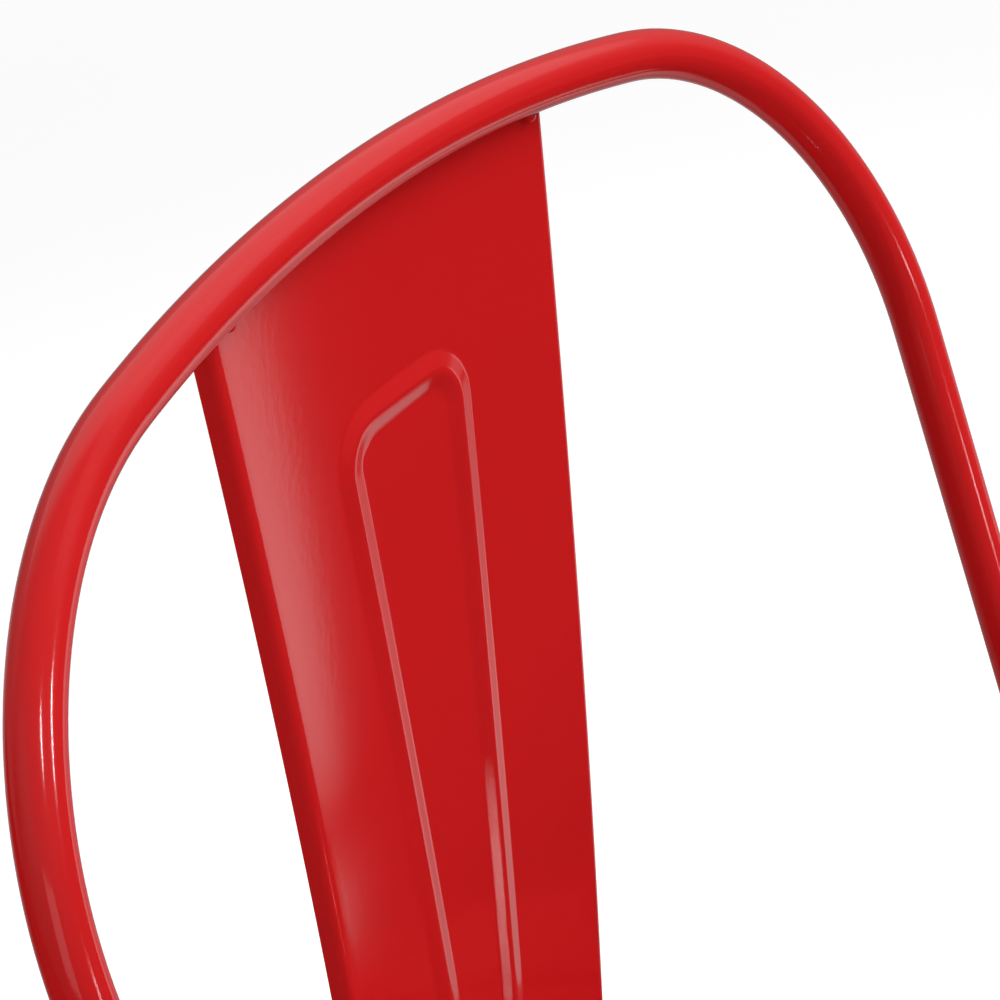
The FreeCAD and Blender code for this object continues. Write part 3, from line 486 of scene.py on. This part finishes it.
pieces = {
    "seatPan": {"node": "seat_pan", "finish": "paint", "ease": 0.0007},
    "frontLegRight": {"node": "front_leg_right", "finish": "paint", "ease": 0.0006},
    "frontLegLeft": {"node": "front_leg_left", "finish": "paint", "ease": 0.0006},
    "rearLegRight": {"node": "rear_leg_right", "finish": "paint", "ease": 0.0006},
    "rearLegLeft": {"node": "rear_leg_left", "finish": "paint", "ease": 0.0006},
    "legCapRight": {"node": "leg_cap_right", "finish": "paint", "ease": 0.0005},
    "legCapLeft": {"node": "leg_cap_left", "finish": "paint", "ease": 0.0005},
    "gussetRight": {"node": "gusset_right", "finish": "paint", "ease": 0.0006},
    "gussetLeft": {"node": "gusset_left", "finish": "paint", "ease": 0.0006},
    "braceUpper": {"node": "brace_upper", "finish": "paint", "ease": 0.0008},
    "braceLower": {"node": "brace_lower", "finish": "paint", "ease": 0.0008},
    "frontLugRight": {"node": "front_lug_right", "finish": "paint", "ease": 0.0006},
    "frontLugLeft": {"node": "front_lug_left", "finish": "paint", "ease": 0.0006},
    "rearLugRight": {"node": "rear_lug_right", "finish": "paint", "ease": 0.0006},
    "rearLugLeft": {"node": "rear_lug_left", "finish": "paint", "ease": 0.0006},
    "frontGlideRight": {"node": "front_glide_right", "finish": "rubber", "ease": 0.0010},
    "frontGlideLeft": {"node": "front_glide_left", "finish": "rubber", "ease": 0.0010},
    "rearGlideRight": {"node": "rear_glide_right", "finish": "rubber", "ease": 0.0010},
    "rearGlideLeft": {"node": "rear_glide_left", "finish": "rubber", "ease": 0.0010},
    "stackBumpers": {"node": "stack_bumpers", "finish": "rubber", "ease": 0.0012},
    "hoopPlugRight": {"node": "hoop_plug_right", "finish": "rubber", "ease": 0.0005},
    "hoopPlugLeft": {"node": "hoop_plug_left", "finish": "rubber", "ease": 0.0005},
    "splatRivets": {"node": "splat_rivets", "finish": "paint", "ease": 0.0007},
    "braceRivetsEnd": {"node": "brace_rivets_end", "finish": "zinc", "ease": 0.0007},
    "braceRivetCentre": {"node": "brace_rivet_centre", "finish": "zinc", "ease": 0.0007},
    "seatBolts": {"node": "seat_bolts", "finish": "zinc", "ease": 0.0006},
    "seatNuts": {"node": "seat_nuts", "finish": "zinc", "ease": 0.0005},
    "seatSpacers": {"node": "seat_spacers", "finish": "zinc", "ease": 0.0003},
    "glideScrews": {"node": "glide_screws", "finish": "zinc", "ease": 0.0004},
    "splatWelds": {"node": "splat_welds", "finish": "paint", "ease": 0},
}


def easedCopy(name, piece):
    shape = bmesh.new()
    shape.from_mesh(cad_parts[piece["node"]].data)
    bmesh.ops.remove_doubles(shape, verts=shape.verts, dist=0.00001)
    bmesh.ops.dissolve_limit(shape, angle_limit=math.radians(2), verts=shape.verts, edges=shape.edges)
    if piece["ease"]:
        sharp = math.radians(50)
        edges = [edge for edge in shape.edges if edge.is_manifold and edge.calc_face_angle() > sharp]
        bmesh.ops.bevel(shape, geom=edges, offset=piece["ease"], offset_type="OFFSET", affect="EDGES",
                        segments=3, profile=0.5, material=-1, clamp_overlap=True)
    bmesh.ops.triangulate(shape, faces=[face for face in shape.faces if len(face.verts) > 4])
    item = finishPiece(name, shape, piece["finish"], [piece["node"]], 35)
    # flat faces stay flat beside their eased edges
    applied(item, ("WEIGHTED_NORMAL", {"keep_sharp": True}))


for pieceName, piece in pieces.items():
    easedCopy(pieceName, piece)
left = [name for name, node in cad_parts.items() if not node.hide_render]
print("the other pieces are eased, still plain:", left)


# Floor and studio light

studio = {
    "floor": 4.0,                        # radius
    "pale": 0.9,
    "glow": 0.3,
    "fade": (1.3, 3.0),                  # seen directly, the floor turns white between these distances
    "backdrop": (0.22, 0.36, 0.92),      # how bright its dim side, its middle and its top are
    "skirting": 0.08,                    # brightness of the dim side along the floor
    "skirtingRise": (0.05, 0.45),        # between these heights the dim side brightens
    "brightSide": 35.0,                  # where the pale top stands, from +X towards +Y
    "brightTurn": (0.1, 0.4),            # how far towards that side the top becomes visible
    "brightRise": (0.43, 0.51),          # between these heights the top begins
    "middleSide": 50.0,                  # the same for the middle
    "middleTurn": (0.08, 0.3),
    "paintedReflectionEdge": ((0.350, 0.0), -33.7),  # the painted reflection, a pale band that the floor shows only in gloss, ends here: a point and a direction
    "paintedReflectionBlur": (-0.012, 0.022),        # width of that edge
    "sheet": (0.0, 1.25, 0.42),          # brightness of the painted reflection before the edge, just behind it and far behind it
    "paintedReflectionFall": (0.15, 0.45),           # between these distances behind the edge it falls
    "paintedReflectionNear": (0.4, 1.4, 0.3),        # between these distances the painted reflection brightens from this share
    "paintedReflectionSide": (-0.6, 0.3),            # across this stretch the painted reflection brightens from left to right
}

back = (-0.19, 0.13, 0.79)     # the middle of what the camera sees

lamps = {
    "ceiling": {
        "place": (0.85, -0.9, 2.45), "aim": (0, 0, 0.6),
        "size": (1.6, 1.6), "watts": 50, "mirrored": False,
    },
    "fill": {
        "place": (-1.15, 0.35, 1.1), "aim": (-0.1, 0.1, 0.7),
        "size": (0.7, 0.9), "watts": 4.5, "mirrored": False,
    },
    "windowFar": {
        "place": (-2.7, -1.45, 1.35), "aim": back,
        "size": (1.3, 1.1), "watts": 3.6, "mirrored": True,
    },
    "windowRight": {
        "place": (0.774, -2.519, 1.816), "aim": back,
        "size": (0.08, 0.50), "watts": 9, "mirrored": True,
    },
    "windowLeft": {
        "place": (-0.976, -2.03, 2.718), "aim": back,
        "size": (0.08, 0.45), "watts": 9, "mirrored": True,
    },
    "lowWindow": {
        "place": (0.55, -2.9, 0.86), "aim": (0.2, 0.1, 0.74),
        "size": (0.4, 0.10), "watts": 1.6, "mirrored": True,
    },
}


def addMath(tree, kind, first, second):
    step = tree.nodes.new("ShaderNodeMath")
    step.operation = kind
    for socket, value in zip(step.inputs, (first, second)):
        if isinstance(value, (int, float)):
            socket.default_value = value
        else:
            tree.links.new(value, socket)
    return step.outputs[0]


def addRamp(tree, value, start, end, low, high):
    step = tree.nodes.new("ShaderNodeMapRange")
    step.interpolation_type = "SMOOTHSTEP"
    for socket, number in (("From Min", start), ("From Max", end), ("To Min", low), ("To Max", high)):
        step.inputs[socket].default_value = number
    tree.links.new(value, step.inputs["Value"])
    return step.outputs["Result"]


def addLength(tree, place):
    step = tree.nodes.new("ShaderNodeVectorMath")
    step.operation = "LENGTH"
    tree.links.new(place, step.inputs[0])
    return step.outputs["Value"]


def addDot(tree, place, direction):
    step = tree.nodes.new("ShaderNodeVectorMath")
    step.operation = "DOT_PRODUCT"
    tree.links.new(place, step.inputs[0])
    step.inputs[1].default_value = direction
    return step.outputs["Value"]


def addSeen(tree, path):
    # 1 for what the camera sees directly or through something clear
    return addMath(tree, "MAXIMUM", path.outputs["Is Camera Ray"], path.outputs["Is Transmission Ray"])


def addMix(tree, value, first, second):
    mix = tree.nodes.new("ShaderNodeMixShader")
    for socket, link in zip(mix.inputs, (value, first, second)):
        tree.links.new(link, socket)
    return mix.outputs[0]


def addDirection(tree, place, turn):
    turn = math.radians(turn)
    return addDot(tree, place, (math.cos(turn), math.sin(turn), 0))


def makeWorld():
    world = bpy.data.worlds.new("studio")
    bpy.context.scene.world = world
    world.use_nodes = True
    tree = world.node_tree
    tree.nodes.clear()
    place = tree.nodes.new("ShaderNodeTexCoord").outputs["Generated"]
    dim, middle, top = studio["backdrop"]
    height = addDot(tree, place, (0, 0, 1))
    low = addRamp(tree, height, *studio["skirtingRise"], studio["skirting"], dim)
    towardsMiddle = addDirection(tree, place, studio["middleSide"])
    lit = addRamp(tree, towardsMiddle, *studio["middleTurn"], 0, middle - dim)
    towardsBright = addDirection(tree, place, studio["brightSide"])
    bright = addRamp(tree, towardsBright, *studio["brightTurn"], 0, 1)
    raised = addRamp(tree, height, *studio["brightRise"], 0, top - middle)
    raised = addMath(tree, "MULTIPLY", raised, bright)
    room = tree.nodes.new("ShaderNodeBackground")
    tree.links.new(addMath(tree, "ADD", addMath(tree, "ADD", low, lit), raised), room.inputs["Strength"])
    white = tree.nodes.new("ShaderNodeBackground")
    white.inputs["Color"].default_value = (1, 1, 1, 1)
    room.inputs["Color"].default_value = (1, 1, 1, 1)
    seen = addSeen(tree, tree.nodes.new("ShaderNodeLightPath"))
    mix = addMix(tree, seen, room.outputs[0], white.outputs[0])
    tree.links.new(mix, tree.nodes.new("ShaderNodeOutputWorld").inputs["Surface"])


def makeFloor():
    shape = bmesh.new()
    bmesh.ops.create_circle(shape, cap_ends=True, segments=96, radius=studio["floor"])
    mesh = bpy.data.meshes.new("floor")
    shape.to_mesh(mesh)
    shape.free()
    floor = bpy.data.objects.new("floor", mesh)
    bpy.context.scene.collection.objects.link(floor)
    material = bpy.data.materials.new("paleFloor")
    material.use_nodes = True
    tree = material.node_tree
    shader = tree.nodes["Principled BSDF"]
    pale = studio["pale"]
    shader.inputs["Base Color"].default_value = (pale, pale, pale, 1)
    shader.inputs["Roughness"].default_value = 0.9
    shader.inputs["Specular IOR Level"].default_value = 0.0
    glow = tree.nodes.new("ShaderNodeEmission")
    glow.inputs["Strength"].default_value = studio["glow"]
    both = tree.nodes.new("ShaderNodeAddShader")
    tree.links.new(shader.outputs[0], both.inputs[0])
    tree.links.new(glow.outputs[0], both.inputs[1])
    place = tree.nodes.new("ShaderNodeTexCoord").outputs["Object"]
    distance = addLength(tree, place)
    away = addRamp(tree, distance, *studio["fade"], 0, 1)
    white = tree.nodes.new("ShaderNodeEmission")
    faded = addMix(tree, away, both.outputs[0], white.outputs[0])
    path = tree.nodes.new("ShaderNodeLightPath")
    mix = addMix(tree, addSeen(tree, path), shader.outputs[0], faded)
    # painted reflection: in the paint's gloss the floor is painted dark up to an edge, and behind it a
    # painted pale band glows though it is no lamp
    (edgeX, edgeY), turn = studio["paintedReflectionEdge"]
    turn = math.radians(turn)
    across = (-math.sin(turn), math.cos(turn), 0)
    edge = edgeX * across[0] + edgeY * across[1]
    behind = addMath(tree, "SUBTRACT", addDot(tree, place, across), edge)
    dark, near, far = studio["sheet"]
    rising = addRamp(tree, behind, *studio["paintedReflectionBlur"], dark, near)
    falling = addRamp(tree, behind, *studio["paintedReflectionFall"], 0, near - far)
    start, end, share = studio["paintedReflectionNear"]
    nearer = addRamp(tree, distance, start, end, share, 1)
    sideways = addRamp(tree, addDot(tree, place, (1, 0, 0)), *studio["paintedReflectionSide"], 0, 1)
    weaker = addMath(tree, "MULTIPLY", nearer, sideways)
    # painted reflection: an emission that only glossy rays see, its strength the painted band's mask
    mirrored = tree.nodes.new("ShaderNodeEmission")
    sheet = addMath(tree, "MULTIPLY", addMath(tree, "SUBTRACT", rising, falling), weaker)
    tree.links.new(sheet, mirrored.inputs["Strength"])
    gloss = addMix(tree, path.outputs["Is Glossy Ray"], mix, mirrored.outputs[0])
    tree.links.new(gloss, tree.nodes["Material Output"].inputs["Surface"])
    mesh.materials.append(material)


def makeLamp(name, lamp):
    data = bpy.data.lights.new(name, "AREA")
    data.shape = "RECTANGLE"
    data.size, data.size_y = lamp["size"]
    data.energy = lamp["watts"]
    item = bpy.data.objects.new(name, data)
    item.location = lamp["place"]
    item.rotation_mode = "QUATERNION"
    item.rotation_quaternion = (Vector(lamp["aim"]) - Vector(lamp["place"])).to_track_quat("-Z", "Y")
    item.visible_glossy = lamp["mirrored"]
    bpy.context.scene.collection.objects.link(item)


makeWorld()
makeFloor()
for lampName, lamp in lamps.items():
    makeLamp(lampName, lamp)
bpy.context.scene.view_settings.view_transform = "Standard"
print("the studio is lit")
